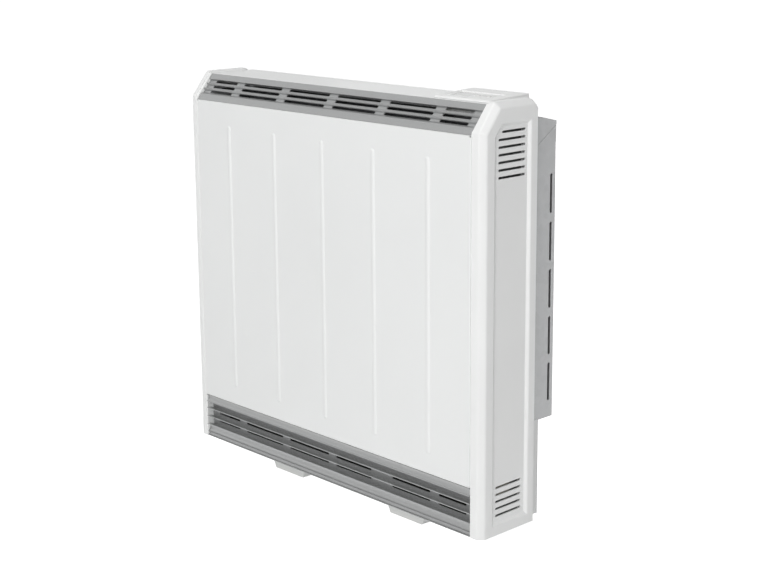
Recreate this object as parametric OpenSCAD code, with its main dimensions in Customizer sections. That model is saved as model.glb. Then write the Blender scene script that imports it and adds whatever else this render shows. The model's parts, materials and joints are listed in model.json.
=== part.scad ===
// Storage heater, wall fixed, with a damper controlled outlet.
// Case coordinates: X from the middle, Y back from the front panel, Z up from the case's lower edge.

/* [Case] */
// Width over both end panels
case_w = 732; // [660:1:900]
// Height of the case, without its feet
case_h = 685; // [640:1:740]
// Depth from the front panel to the case's own back sheet
body_d = 152; // [145:1:170]
// Height of the feet
foot_h = 37; // [25:1:60]
// Thickness of the folded steel sheet
sheet = 1.2; // [0.8:0.1:1.6]
// Gap between pieces that lie against each other
gap = 0.3; // [0.2:0.05:0.5]
// Width of the wiring duct on each side of the heat store
side_duct = 31; // [28:1:40]

/* [Front panel] */
// Depth of the panel's folded edges
panel_edge = 10; // [6:1:14]
// Number of raised ribs on the panel
rib_count = 5; // [3:2:5]
// Distance from rib to rib
rib_pitch = 125; // [100:1:135]
// Width of a rib
rib_w = 10; // [6:1:14]
// Height that a rib stands out of the panel
rib_proud = 2; // [1:0.25:3]
// Distance from the panel's lower edge to the ribs
rib_low = 34; // [20:1:80]
// Distance from the ribs to the panel's upper edge
rib_high = 41; // [20:1:80]
// Size of the opening where the folds meet at an upper corner
fold_relief = 2.8; // [1.5:0.1:4]

/* [Top cover] */
// Height of the cover's folded rear edge
cover_fold = 30; // [24:1:36]
// Distance that the cover reaches back past the end panels
cover_over = 5.4; // [2:0.2:8]

/* [Outlet grille] */
// Depth of the sloping front corner
slope_y = 36; // [30:1:42]
// Height of the sloping front corner
slope_z = 45; // [40:1:52]
// Height of the plain band under the slots, measured up the slope
band_low = 13.4; // [12:0.2:14.6]
// Height of the plain band over the slots, measured up the slope
band_high = 12.2; // [10:0.2:13]
// Thickness of the grille's wall
grille_t = 2; // [1.5:0.1:2.5]
// Depth of the sunken web that holds the slots
web_d = 4; // [3:0.25:5]
// Height of a slot in the web
outlet_slot = 4.8; // [3.5:0.1:5.2]
// Width of the bridges between the slots
bridge_w = 20.4; // [12:0.2:30]

/* [Inlet grille] */
// Height of the inlet grille
inlet_h = 81; // [78:1:90]
// Depth of the valleys between its slats
valley_d = 15; // [12:0.5:18]
// Height of an air slot
inlet_slot = 4.3; // [3:0.1:5]
// Width of the wide bridge beside the middle
wide_bridge = 52; // [40:1:60]
// Distance from a grille's end to its first slot
end_land = 20; // [14:1:30]

/* [End panels] */
// Wall thickness of the moulded end panels
end_wall = 2.5; // [2:0.1:3]
// Distance that the case's side sheets lie inside the end panels' outer face
end_depth = 15; // [13:0.5:20]
// Width of the flat front face of an end panel
end_flat = 11.2; // [8:0.2:14]
// Width of the lip between that face and the front panel
end_lip = 4.5; // [3:0.5:6]
// Width of the bevel, measured across the front
bevel_w = 8.4; // [6:0.2:12]
// Depth at which the end panels end
end_back = 125.6; // [110:0.2:135]
// Height that the end panels rise over the top cover
end_rise = 4; // [2:0.5:6]
// Height that the end panels drop below the case
end_drop = 1.4; // [0:0.1:3]
// Radius of the rear top corner
corner_r = 13; // [10:1:24]
// Inset of the bevel, measured in the end face
bevel_in = 9.8; // [6:0.2:12]
// Depth of the recessed field in the end face
recess_d = 4; // [2:0.5:5]
// Width of the recess's sloping sides
recess_slope = 5; // [3:0.5:8]
// Height of a louvre slot
louvre_h = 4; // [2:0.25:5]
// Distance from louvre to louvre
louvre_pitch = 11.7; // [8:0.1:14]
// Number of louvres at the top
louvre_top = 7; // [3:1:9]
// Number of louvres at the bottom
louvre_low = 5; // [3:1:8]
// Distance from the case's top to the highest louvre
louvre_drop = 42.2; // [38:0.2:60]
// Height of the lowest louvre
louvre_z0 = 29.6; // [24:0.2:40]
// Height of an end panel's lower screw
screw_low = 137; // [100:1:180]
// Distance between the screws of an end panel
screw_pitch = 274; // [200:1:320]

/* [Wall box] */
// Depth of the box that keeps the case off the wall
box_d = 33; // [25:1:45]
// Height of the box's lower edge
box_low = 161; // [120:1:220]
// Fall of its top towards the wall
box_fall = 7.8; // [4:0.2:14]
// Number of air slots in each side
box_slots = 5; // [3:1:6]
// Length of an air slot
box_slot_l = 63.7; // [40:0.1:64]
// Width of an air slot
box_slot_w = 5.5; // [3:0.5:8]
// Radius of the wall fixing holes
fix_r = 4; // [3:0.25:5]
// Height between the wall fixing holes
fix_h = 380; // [300:5:400]
// Height of the lower fixing holes over the box's lower edge
fix_low = 55; // [40:1:80]
// Distance from the wiring duct's inner wall to the fixing holes
fix_in = 15; // [12:0.5:18]

/* [Feet] */
// Distance between the middles of the feet
foot_pitch = 307; // [240:1:380]
// Width of a foot's sole
foot_w = 77; // [60:1:100]
// Depth of a foot
foot_d = 96; // [70:1:100]
// Distance from the front panel back to the feet
foot_back = 43; // [36:1:48]
// Slant of a foot's sides, in degrees
foot_slant = 25; // [10:1:30]
// Radius of the screws in the feet
foot_screw_r = 2; // [1.5:0.25:3]

/* [Heat store] */
// Thickness of the insulation in front of the store
ins_front = 18; // [16:0.5:18.5]
// Thickness of the insulation behind the store
ins_back = 25; // [20:1:30]
// Thickness of the insulation at each side of the store
ins_side = 28; // [20:1:35]
// Thickness of the insulation under the store
ins_base = 42; // [30:1:44]
// Thickness of the insulation over the store
ins_top = 41; // [30:1:50]
// Depth of the air channel in front of the bricks
channel_d = 14; // [8:1:18]
// Number of bricks in a layer
brick_cols = 3; // [2:1:4]
// Radius of a heating element
element_r = 4.25; // [3:0.25:5]
// Distance between the two legs of an element
element_span = 38; // [30:1:42]

/* [Damper] */
// Distance from the damper blade's ends to the case's sides
blade_end = 101; // [90:1:150]
// Depth of the outlet that the blade closes
outlet_d = 26.5; // [25:0.5:28]
// Distance from the damper's axis to its front edge
blade_l = 30; // [24:1:32]
// Radius of the damper's shaft
shaft_r = 3; // [2.5:0.25:3.5]
// Radial clearance of a turning or sliding fit
run_gap = 0.05; // [0.02:0.01:0.09]

/* [Control] */
// Width of the control unit
hood_w = 119.6; // [116:0.2:150]
// Distance that the control unit reaches back past the top cover
hood_over = 3; // [0:0.5:6]
// Height of its front edge over the top cover
hood_front = 4.3; // [3:0.1:6]
// Height of its rear edge over the top cover
hood_rear = 8.4; // [7:0.1:12]
// Wall thickness of the control unit
hood_wall = 2; // [1.6:0.1:2.4]
// Radius of a push button
button_r = 4.4; // [3.5:0.1:4.8]
// Travel of a push button
button_travel = 0.8; // [0.5:0.1:1]

/* [Wiring] */
// Radius of the hole through the cable bush
cable_r = 5; // [3:0.25:6]
// Length of the cable bush
bush_l = 9; // [7:0.5:12]
// Height of the cable bush
bush_z = 75; // [60:1:100]
// Number of poles on the terminal block
poles = 4; // [3:1:6]

/* [Hidden] */
$fn = 48;

// Colours
white_paint = [0.93, 0.93, 0.925];
white_plastic = [0.95, 0.95, 0.945];
grille_grey = [0.62, 0.63, 0.63];
zinc = [0.70, 0.71, 0.72];
board_cream = [0.86, 0.83, 0.76];
brick_brown = [0.27, 0.23, 0.21];
display_grey = [0.70, 0.71, 0.70];
steel = [0.55, 0.56, 0.58];

// Case planes
half_w = case_w / 2;
panel_x = half_w - bevel_w - end_flat - end_lip - gap;
side_x = half_w - end_depth;
store_x = side_x - sheet - side_duct;
back_y = body_d + box_d;
case_y = -(back_y + rib_proud) / 2 + rib_proud;
panel_top = case_h - slope_z;
slope_a = atan2(slope_z, slope_y);
slope_l = norm([slope_y, slope_z]);
eps = 0.05;

// Puts a piece that is drawn in case coordinates into the part's own frame
module in_case() translate([0, case_y, foot_h]) children();

// Extrudes an outline of [y, z] points along X from x0 to x1
module along_x(x0, x1, outline)
    translate([x0, 0, 0])
        rotate([90, 0, 90])
            linear_extrude(x1 - x0)
                polygon(outline);

// A box from its low and high corners
module block(lo, hi) translate(lo) cube(hi - lo);

// A round bar along X, Y or Z
module bar_x(at, r, l) translate(at) rotate([0, 90, 0]) cylinder(r = r, h = l);
module bar_y(at, r, l) translate(at) rotate([-90, 0, 0]) cylinder(r = r, h = l);
module bar_z(at, r, l) translate(at) cylinder(r = r, h = l);

// Mirrors a right-hand piece to the left when side is -1
module on_side(side) mirror([side < 0 ? 1 : 0, 0, 0]) children();

// A point that lies s up the sloping corner and d behind it, as [y, z]
function on_slope(s, d) = [
    s * cos(slope_a) + d * sin(slope_a),
    panel_top + s * sin(slope_a) - d * cos(slope_a)];

// ---------------------------------------------------------------- Front panel

// The pressed shape of one rib: a flat arch with round ends
rib_arc = (pow(rib_w / 2, 2) + pow(rib_proud, 2)) / (2 * rib_proud);
rib_z0 = inlet_h + rib_low + rib_w / 2;
rib_z1 = panel_top - rib_high - rib_w / 2;

module rib_form(x, shrink) {
    r = rib_arc - shrink;
    y = rib_arc - rib_proud;
    bar_z([x, y, rib_z0], r, rib_z1 - rib_z0);
    for (z = [rib_z0, rib_z1])
        translate([x, y, z]) sphere(r = r);
}

module ribs(shrink)
    for (i = [0 : rib_count - 1])
        rib_form((i - (rib_count - 1) / 2) * rib_pitch, shrink);

module front_panel() {
    lo = [-panel_x, 0, inlet_h + gap];
    hi = [panel_x, panel_edge, panel_top];
    color(white_paint) in_case() difference() {
        union() {
            block(lo, hi);
            intersection() {
                ribs(0);
                block([-panel_x, -rib_proud - 1, inlet_h], [panel_x, sheet, panel_top]);
            }
        }
        block(lo + [sheet, sheet, sheet], hi + [-sheet, 1, -sheet]);
        ribs(sheet);
        for (side = [-1, 1])
            on_side(side) block([panel_x - fold_relief, -1, panel_top - fold_relief],
                [panel_x + 1, fold_relief, panel_top + 1]);
    }
}

// ---------------------------------------------------------------- Top cover

cover_x = panel_x;
cover_front = slope_y + gap;
cover_back = end_back + cover_over;
top_sheet_z = case_h - cover_fold;

module top_cover() {
    lo = [-cover_x, cover_front, top_sheet_z + gap];
    hi = [cover_x, cover_back, case_h];
    color(white_paint) in_case() difference() {
        block(lo, hi);
        block([lo.x - 1, lo.y - 1, lo.z - 1], [hi.x + 1, hi.y - sheet, hi.z - sheet]);
        block([tub_x0 - gap, tub_y0 - gap, case_h - 2 * sheet], [tub_x1 + gap, tub_y1 + gap, case_h + 1]);
    }
}

// ---------------------------------------------------------------- End panels

end_in = panel_x + gap;
flat_in = end_in + end_lip;
flat_out = flat_in + end_flat;
lip_step = 1.1;
flat_y = 0.9;
slope_proud = 3;
end_web = 2;

// Outline of an end panel, inset by i from its front, slope and top
function end_outline(fy, proud, top, i) = let (
    n = proud - i,
    y0 = fy + i,
    z1 = top - i,
    s0 = (y0 + n * sin(slope_a)) / cos(slope_a),
    s1 = (z1 - panel_top - n * cos(slope_a)) / sin(slope_a),
    r = corner_r - i / 2,
    yc = end_back - r,
    zc = z1 - r)
    concat(
        [[y0, -end_drop],
         [y0, panel_top + n * cos(slope_a) + s0 * sin(slope_a)],
         [s1 * cos(slope_a) - n * sin(slope_a), z1]],
        [for (t = [0 : 10 : 90]) [yc + r * sin(t), zc + r * cos(t)]],
        [[end_back, -end_drop]]);

function face_outline(i) = end_outline(flat_y, slope_proud, case_h + end_rise, i);
lip_top = case_h + 0.4;
function lip_outline(i) = end_outline(flat_y + lip_step, 1, lip_top, i);

// The recessed field and its louvres
recess_low = 15.9;
recess_top_in = 32.5;
recess_front_in = 27.1;
recess_back_in = 14.8;
louvre_y0 = 40;
louvre_y1 = end_back - recess_back_in - recess_slope - 3.5;
louvre_z1 = case_h - louvre_drop;

function recess_outline(i) = let (
    y0 = flat_y + recess_front_in + i,
    y1 = end_back - recess_back_in - i,
    z0 = recess_low - end_drop + i,
    z1 = case_h + end_rise - recess_top_in - i,
    n = slope_proud - recess_front_in - i,
    s0 = (y0 + n * sin(slope_a)) / cos(slope_a),
    s1 = (z1 - panel_top - n * cos(slope_a)) / sin(slope_a))
    [[y0, z0], [y0, panel_top + n * cos(slope_a) + s0 * sin(slope_a)],
     [s1 * cos(slope_a) - n * sin(slope_a), z1], [y1, z1], [y1, z0]];

module louvre(y0, y1, z) {
    r = louvre_h / 2;
    block([half_w - 14, y0 + r, z - r], [half_w + 1, y1 - r, z + r]);
    for (y = [y0 + r, y1 - r])
        bar_x([half_w - 14, y, z], r, 15);
}

module louvres() {
    for (i = [0 : louvre_top - 1])
        louvre(louvre_y0 + (i == 0 ? 8 : 0), louvre_y1, louvre_z1 - i * louvre_pitch);
    for (i = [0 : louvre_low - 1])
        louvre(louvre_y0 - 1, louvre_y1 - 3, louvre_z0 + i * louvre_pitch);
}

// Solid body of an end panel, shrunk by i from its outer faces
module end_body(x0, i, deep)
    hull() {
        along_x(x0, flat_out - deep / 3, face_outline(i));
        along_x(half_w - deep - eps, half_w - deep, face_outline(bevel_in + i * 0.5));
    }

// Inner wall that closes the ends of the grilles
module end_inner_wall() {
    wall_y = flat_y + lip_step;
    grille_back = valley_d + grille_t;
    web_back = cover_front + slope_z * 0.36;
    along_x(end_in, end_in + end_web, [
        [wall_y, -end_drop], [grille_back, -end_drop], [grille_back, inlet_h + end_lip],
        [panel_edge - gap, inlet_h + end_lip], [panel_edge - gap, panel_top - web_d - grille_t],
        [web_back, panel_top + slope_z / 2], [web_back, case_h - sheet],
        on_slope(slope_l - end_web, 0), on_slope(0, 0), [wall_y, panel_top - end_lip]]);
}

boss_x = side_x + gap;
boss_y = end_back - 9.6;
boss_zs = [screw_low, screw_low + screw_pitch];
boss_r = 5;
end_screw_r = 1.9;
end_screw_l = 7;
end_head = 2.4;

// Hollow of the lip, which leaves its front, slope, top and rear walls
module lip_hollow()
    intersection() {
        along_x(end_in - 1, flat_in + end_wall + 1, lip_outline(end_wall));
        block([end_in - 2, 0, -end_drop - 1],
            [half_w, end_back - end_wall, case_h + end_rise]);
    }

// Hollow of the end panel, with its bosses and the floor of its recess left standing
module end_hollow()
    difference() {
        end_body(flat_in - 1, end_wall, end_wall);
        block([end_in - 2, 0, -10], [half_w, end_back, end_wall - end_drop]);
        block([end_in - 2, end_back - end_wall, -10], [half_w, end_back + 1, case_h + 10]);
        along_x(half_w - recess_d - end_wall, half_w, recess_outline(-end_wall));
        along_x(end_in - 2, flat_in + end_wall, [
            [0, -10], [flat_y + lip_step + end_wall, -10],
            [flat_y + lip_step + end_wall, panel_top - 2], [-20, panel_top - 2]]);
        // The wall between the top of the lip and the higher rim stays closed
        block([end_in - 2, 0, lip_top - end_wall],
            [flat_in + end_wall, end_back, case_h + end_rise]);
        for (z = boss_zs)
            bar_x([boss_x, boss_y, z], boss_r, half_w - boss_x);
    }

module end_panel() {
    difference() {
        union() {
            end_body(flat_in, 0, 0);
            difference() {
                along_x(end_in, flat_in + end_wall, lip_outline(0));
                lip_hollow();
            }
        }
        end_hollow();
        hull() {
            along_x(half_w, half_w + eps, recess_outline(0));
            along_x(half_w - recess_d, half_w - recess_d + eps, recess_outline(recess_slope));
        }
        louvres();
        // Room for the case, which reaches back past the end panel
        block([end_in - 1, end_back - end_wall - 1, -end_drop - 1],
            [boss_x, end_back + 1, top_sheet_z + gap]);
        block([end_in - 1, base_front_y - gap, -end_drop - 1],
            [boss_x, end_back + 1, end_wall - end_drop + 1]);
        for (z = boss_zs)
            bar_x([boss_x - 1, boss_y, z], end_screw_r + 0.1, end_screw_l);
    }
    end_inner_wall();
}

module left_end_panel() color(white_plastic) in_case() on_side(-1) end_panel();
module right_end_panel() color(white_plastic) in_case() on_side(1) end_panel();

// Screws that hold the end panels from inside the case
module end_panel_screws()
    color(steel) in_case()
        for (side = [-1, 1], z = boss_zs)
            on_side(side) {
                bar_x([side_x - sheet - gap - end_head, boss_y, z], end_screw_r * 1.9, end_head);
                bar_x([side_x - sheet - gap - 0.1, boss_y, z], end_screw_r, end_screw_l);
            }

// ---------------------------------------------------------------- Grilles

slot_rows = 3;
slot_land = 1.3;
slot_step = (slope_l - band_low - band_high) / slot_rows + 0.3;
web_low = band_low + 5.1;
ridge_half = 3.1;

// The bridges stand on the rib lines
function bridge_xs() = [for (i = [-2 : 2]) i * rib_pitch];

// The ends of the slots in a row, between the bridges' half widths
function slot_starts(half) = let (xs = bridge_xs())
    concat([-cover_x + end_land], [for (i = [0 : 4]) xs[i] + half[i]]);
function slot_ends(half) = let (xs = bridge_xs())
    concat([for (i = [0 : 4]) xs[i] - half[i]], [cover_x - end_land]);

// Local frame of the sloping corner: u along X, v up the slope, w out of it
module on_corner()
    translate([0, 0, panel_top])
        rotate([slope_a, 0, 0])
            children();

// A slot with round ends through the web
module outlet_slot_form(x0, x1, v0) {
    r = outlet_slot / 2;
    w0 = -web_d - grille_t - 1;
    depth = grille_t + 2.6;
    on_corner() {
        block([x0 + r, v0, w0], [x1 - r, v0 + outlet_slot, w0 + depth]);
        for (x = [x0 + r, x1 - r])
            bar_z([x, v0 + r, w0], r, depth, $fn = 24);
    }
}

// Front and back of the ridge between two rows of slots, as points on the slope
function ridge_front(v) = [
    on_slope(v + ridge_half, web_d), on_slope(v + 0.3, 0),
    on_slope(v - 0.3, 0), on_slope(v - ridge_half + 0.3, web_d)];
function ridge_back(v) = [
    on_slope(v - ridge_half * 0.8, web_d + grille_t), on_slope(v, grille_t + 0.6),
    on_slope(v + ridge_half * 0.8, web_d + grille_t)];

module outlet_grille() {
    low = band_low;
    high = slope_l - band_high;
    half = cover_x - gap;
    ridges = [for (i = [1, 2]) web_low + i * slot_step - slot_land - ridge_half];
    halves = [for (i = [0 : 4]) bridge_w / 2];
    starts = slot_starts(halves);
    ends = slot_ends(halves);
    color(grille_grey) in_case() difference() {
        along_x(-half, half, concat(
            // Upper band, web with its ridges and lower band, seen from outside
            [on_slope(slope_l - 0.2, 0), on_slope(high, 0), on_slope(high - 0.3, web_d)],
            ridge_front(ridges[1]),
            ridge_front(ridges[0]),
            [on_slope(web_low, web_d), on_slope(low, 0), [0.6, panel_top + gap]],
            // Edge that seats on the front panel
            [[panel_edge, panel_top + gap], [panel_edge, panel_top + gap + grille_t],
             [4, panel_top + gap + grille_t], on_slope(low - 1, grille_t),
             on_slope(web_low - 0.7, web_d + grille_t)],
            ridge_back(ridges[0]),
            ridge_back(ridges[1]),
            // Edge that tucks under the top cover
            [on_slope(high + 1.6, web_d + grille_t), on_slope(high + 1.7, grille_t),
             on_slope(slope_l - 4, grille_t), [slope_y + 11, case_h - sheet - gap - 1.5],
             [slope_y + 11, case_h - sheet - gap], [slope_y, case_h - sheet - gap]]));
        for (row = [0 : slot_rows - 1], i = [0 : 5])
            outlet_slot_form(starts[i], ends[i], web_low + row * slot_step);
    }
}

// Heights of the inlet grille's edges, from the top
inlet_tips = [for (f = [1, 0.84, 0.68, 0.481, 0.284, 0.099, 0]) f * inlet_h];
slat_drop = 3.6;

// A hollow band between two edges, scooped deep behind the front plane
function scoop(z1, z0, deep) = let (mid = z1 - (z1 - z0) * 0.25)
    concat(
        [[0, z1], [deep * 0.9, z1 - 0.8], [deep, mid]],
        [for (t = [15 : 15 : 90]) [deep * cos(t), mid - (mid - z0) * sin(t)]]);

module scoop_band(z1, z0, deep) {
    line = scoop(z1, z0, deep);
    back = [for (i = [len(line) - 1 : -1 : 0]) line[i] + [grille_t, 0]];
    along_x(-cover_x + gap, cover_x - gap, concat(line, back));
}

module inlet_slat(z)
    along_x(-cover_x + gap, cover_x - gap, [
        [0, z - 1], [0, z + 0.6],
        [valley_d + 0.5, z + 0.6 - slat_drop], [valley_d + 0.5, z - 1.4 - slat_drop]]);

// A row of slots through the inlet grille's back wall, between the bridges
module inlet_slots(z0) {
    half = [for (x = bridge_xs())
        x > 0 && x < 1.5 * rib_pitch ? wide_bridge / 2 : bridge_w / 2];
    starts = slot_starts(half);
    ends = slot_ends(half);
    for (i = [0 : 5])
        block([starts[i], valley_d - 1, z0], [ends[i], valley_d + 4, z0 + inlet_slot]);
}

module inlet_grille() {
    t = inlet_tips;
    color(grille_grey) in_case() {
        scoop_band(t[0], t[1], 5);
        scoop_band(t[4], t[5], 7);
        scoop_band(t[5], t[6], 5);
        for (i = [1 : 4])
            inlet_slat(t[i]);
        difference() {
            block([-cover_x + gap, valley_d, t[4] - slat_drop - 1.4],
                [cover_x - gap, valley_d + grille_t, t[1] + 0.6 - slat_drop]);
            inlet_slots(t[3] + 2.7);
            inlet_slots(t[4] + 3.6);
        }
        // Edges that meet the front panel and the base plate
        block([-cover_x + gap, 0, t[0] - 1.5], [cover_x - gap, panel_edge, t[0]]);
        block([-cover_x + gap, 0, 0], [cover_x - gap, valley_d + grille_t, 1.5]);
    }
}

// ---------------------------------------------------------------- Case sheets

store_front_y = panel_edge + 6;
store_low = inlet_h + 1;
ins_front_y = store_front_y + sheet + gap;
core_front_y = ins_front_y + ins_front + channel_d + gap;
case_back_y = body_d - sheet;
base_front_y = valley_d + grille_t + gap;
top_front_y = ins_front_y + ins_front + outlet_d;
fix_x = store_x + sheet + gap + fix_in;
fix_z = [box_low + fix_low, box_low + fix_low + fix_h];
bush_at = [fix_x, body_d - sheet / 2, bush_z];
bush_seat = cable_r + 3;

base_edge = 14;

module base_plate() {
    x = side_x - sheet - gap;
    color(zinc) in_case() difference() {
        union() {
            block([-x, base_front_y, 0], [x, case_back_y - gap, sheet]);
            // Upturned edges inside the case's side sheets
            for (side = [-1, 1]) on_side(side)
                block([x - sheet, base_front_y, 0], [x, case_back_y - gap, base_edge]);
        }
        foot_holes(foot_screw_r + 0.2);
    }
}

module case_back() {
    color(zinc) in_case() difference() {
        block([-side_x, case_back_y, 0], [side_x, body_d, top_sheet_z]);
        // Holes that let a screwdriver reach the wall fixing holes
        for (side = [-1, 1], z = fix_z)
            on_side(side) bar_y([fix_x, case_back_y - 1, z], fix_r + 5, sheet + 2);
        bar_y([bush_at.x, case_back_y - 1, bush_at.z], bush_seat + 0.1, sheet + 2);
    }
}

// Windows in the side sheets, behind the lower and the upper louvres
window_y = [48, 104];
window_margin = 8;
window_zs = [
    [louvre_z0 - window_margin, louvre_z0 + (louvre_low - 1) * louvre_pitch + 2.5 * window_margin],
    [louvre_z1 - (louvre_top - 1) * louvre_pitch - window_margin, top_sheet_z - window_margin]];
side_edge = 14;
side_chamfer = [14, 27];

module case_side()
    difference() {
        union() {
            along_x(side_x - sheet, side_x, [
                [panel_edge + gap, sheet + gap],
                [panel_edge + gap, top_sheet_z - side_chamfer[1]],
                [panel_edge + gap + side_chamfer[0], top_sheet_z - gap],
                [case_back_y - gap, top_sheet_z - gap],
                [case_back_y - gap, sheet + gap]]);
            // Folded edge that carries the front panel
            block([panel_x - side_edge, panel_edge + gap, inlet_h + side_edge],
                [side_x, panel_edge + gap + sheet, panel_top - side_edge]);
        }
        for (z = boss_zs)
            bar_x([side_x - sheet - 1, boss_y, z], end_screw_r + 0.4, sheet + 2);
        for (z = window_zs)
            block([side_x - sheet - 1, window_y[0], z[0]], [side_x + 1, window_y[1], z[1]]);
    }

module case_left_side() color(white_paint) in_case() on_side(-1) case_side();
module case_right_side() color(white_paint) in_case() on_side(1) case_side();

module case_top() {
    x = side_x - sheet - gap;
    color(zinc) in_case() {
        block([-x, top_front_y, top_sheet_z - gap - sheet], [x, case_back_y - gap, top_sheet_z - gap]);
        // Front edge folded down over the top insulation
        block([-store_x, top_front_y, core_top + gap], [store_x, top_front_y + sheet, top_sheet_z - gap]);
    }
}

module store_side(is_right)
    difference() {
        block([store_x + gap, ins_front_y, sheet + gap],
            [store_x + gap + sheet, case_back_y - gap, top_sheet_z - gap - sheet - gap]);
        if (is_right) {
            for (z = element_zs, y = element_ys)
                bar_x([store_x, y, z], bush_hole_r, sheet + 2);
            bar_x([store_x, core_mid_y, sensor_z], sensor_r + 0.5, sheet + 2);
        }
    }

module store_left_side() color(zinc) in_case() on_side(-1) store_side(false);
module store_right_side() color(zinc) in_case() on_side(1) store_side(true);

seat_z = panel_top;
seat_lip = 2.2;
seat_back = ins_front_y + ins_front + seat_lip;

module store_front() {
    x = store_x + gap + sheet;
    color(zinc) in_case() {
        block([-x, store_front_y, store_low], [x, store_front_y + sheet, seat_z]);
        // Lower edge under the front insulation
        block([-store_x, store_front_y, store_low],
            [store_x, ins_front_y + ins_front, store_low + sheet]);
        // Upper edge, the seat of the damper
        block([-store_x, store_front_y, seat_z - sheet], [store_x, seat_back, seat_z]);
    }
}

// ---------------------------------------------------------------- Wall box

box_x = side_x + gap + sheet;
box_lap = 14;
box_top = top_sheet_z - 0.2;
box_slot_y = back_y - 10;
box_slot_low = 28;
box_pitch = box_slot_l + 14;
seam_low = 35.4;
seam_high = 6;
seam_gap = 0.6;
ear_tongue = 8;

// Height of the box's sloping top at depth y
function box_roof(y) = box_top - box_fall * max(0, y - body_d) / box_d;

// Height at depth y of the seam between the box's side and the roof's ear
function seam(y) = box_top - seam_low + (seam_low - seam_high - box_fall) * (y - body_d) / box_d;

module box_slot(z) {
    r = box_slot_w / 2;
    block([box_x - 4, box_slot_y - r, z + r], [box_x + 1, box_slot_y + r, z + box_slot_l - r]);
    for (h = [z + r, z + box_slot_l - r])
        bar_x([box_x - 4, box_slot_y, h], r, 5);
}

module wall_box() {
    y0 = body_d - box_lap;
    roof = sheet + gap;
    color(zinc) in_case() difference() {
        along_x(-box_x, box_x, [
            [y0, box_low], [back_y, box_low], [back_y, box_roof(back_y) - roof],
            [body_d, box_top - roof], [y0, box_top - roof]]);
        // Inside of the tray, open to the case and at the top
        block([-box_x + sheet, y0 - 1, box_low + sheet], [box_x - sheet, back_y - sheet, case_h]);
        // The lower edge lies behind the case's back sheet
        block([-box_x - 1, y0 - 1, box_low - 1], [box_x + 1, body_d + gap, box_low + sheet]);
        // Corners that the roof's ears fill
        for (side = [-1, 1])
            on_side(side) along_x(box_x - sheet - gap, box_x + 1, [
                [y0 - 1, seam(y0 - 1) - seam_gap], [back_y + 1, seam(back_y + 1) - seam_gap],
                [back_y + 1, case_h], [y0 - 1, case_h]]);
        for (side = [-1, 1], i = [0 : box_slots - 1])
            on_side(side) box_slot(box_low + box_slot_low + i * box_pitch);
        for (side = [-1, 1], z = fix_z)
            on_side(side) bar_y([fix_x, back_y - sheet - 1, z], fix_r, sheet + 2);
    }
}

// Sloping roof of the wall box. Its ears lie flush with the box's sides, each with a tongue
// that reaches down behind the side.
module wall_box_cap() {
    y0 = body_d - box_lap;
    y1 = body_d + gap;
    y2 = back_y - sheet - gap;
    ear_in = box_x - 2 * sheet - gap;
    color(zinc) in_case() {
        along_x(-box_x + sheet - eps, box_x - sheet + eps, [
            [y1, box_roof(y1) - sheet], [back_y, box_roof(back_y) - sheet],
            [back_y, box_roof(back_y)], [y1, box_roof(y1)]]);
        for (side = [-1, 1])
            on_side(side) {
                along_x(box_x - sheet, box_x, [
                    [y0, seam(y0)], [back_y, seam(back_y)],
                    [back_y, box_roof(back_y)], [body_d, box_top], [y0, box_top]]);
                along_x(ear_in, box_x - sheet + eps, [
                    [y1, seam(y1) + 1], [y2, seam(y2) + 1], [y2, box_roof(y2)], [y1, box_roof(y1)]]);
                along_x(ear_in, box_x - sheet - gap, [
                    [y1, seam(y1) - ear_tongue], [y2, seam(y2) - ear_tongue],
                    [y2, seam(y2) + 2], [y1, seam(y1) + 2]]);
            }
    }
}

// ---------------------------------------------------------------- Feet

foot_wall = 2.5;
foot_in = 22;
foot_floor = 9;
foot_head = 2.6;
foot_ys = [foot_back + foot_in, foot_back + foot_d - foot_in];

// A foot's section at height z, as half its width
function foot_half(z) = foot_w / 2 + (z + foot_h) * tan(foot_slant);

module foot_solid(inset, z0, z1)
    translate([0, foot_back + foot_d - inset, 0])
        rotate([90, 0, 0])
            linear_extrude(foot_d - 2 * inset)
                polygon([
                    [-foot_half(z0) + inset, z0], [foot_half(z0) - inset, z0],
                    [foot_half(z1) - inset, z1], [-foot_half(z1) + inset, z1]]);

module foot_holes(r)
    for (side = [-1, 1], y = foot_ys)
        bar_z([side * foot_pitch / 2, y, -foot_h - 1], r, foot_h + 5);

module foot(side) {
    boss = foot_screw_r + 4.5;
    difference() {
        union() {
            translate([side * foot_pitch / 2, 0, 0]) difference() {
                foot_solid(0, -foot_h, -gap);
                foot_solid(foot_wall, -foot_h + foot_wall, 0);
            }
            for (y = foot_ys)
                bar_z([side * foot_pitch / 2, y, -foot_h], boss, foot_h - gap);
        }
        foot_holes(foot_screw_r + 0.3);
        // Deep counterbores for the screw heads
        for (y = foot_ys)
            bar_z([side * foot_pitch / 2, y, -foot_h - 1], foot_screw_r * 2 + 0.5,
                foot_h + 1 - foot_floor);
    }
}

module left_foot() color(white_plastic) in_case() foot(-1);
module right_foot() color(white_plastic) in_case() foot(1);

module foot_screws()
    color(steel) in_case()
        for (side = [-1, 1], y = foot_ys) {
            bar_z([side * foot_pitch / 2, y, -foot_floor - foot_head - gap], foot_screw_r * 2, foot_head);
            bar_z([side * foot_pitch / 2, y, -foot_floor - gap - 0.1], foot_screw_r,
                foot_floor + gap + sheet);
        }

// ---------------------------------------------------------------- Heat store

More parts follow.
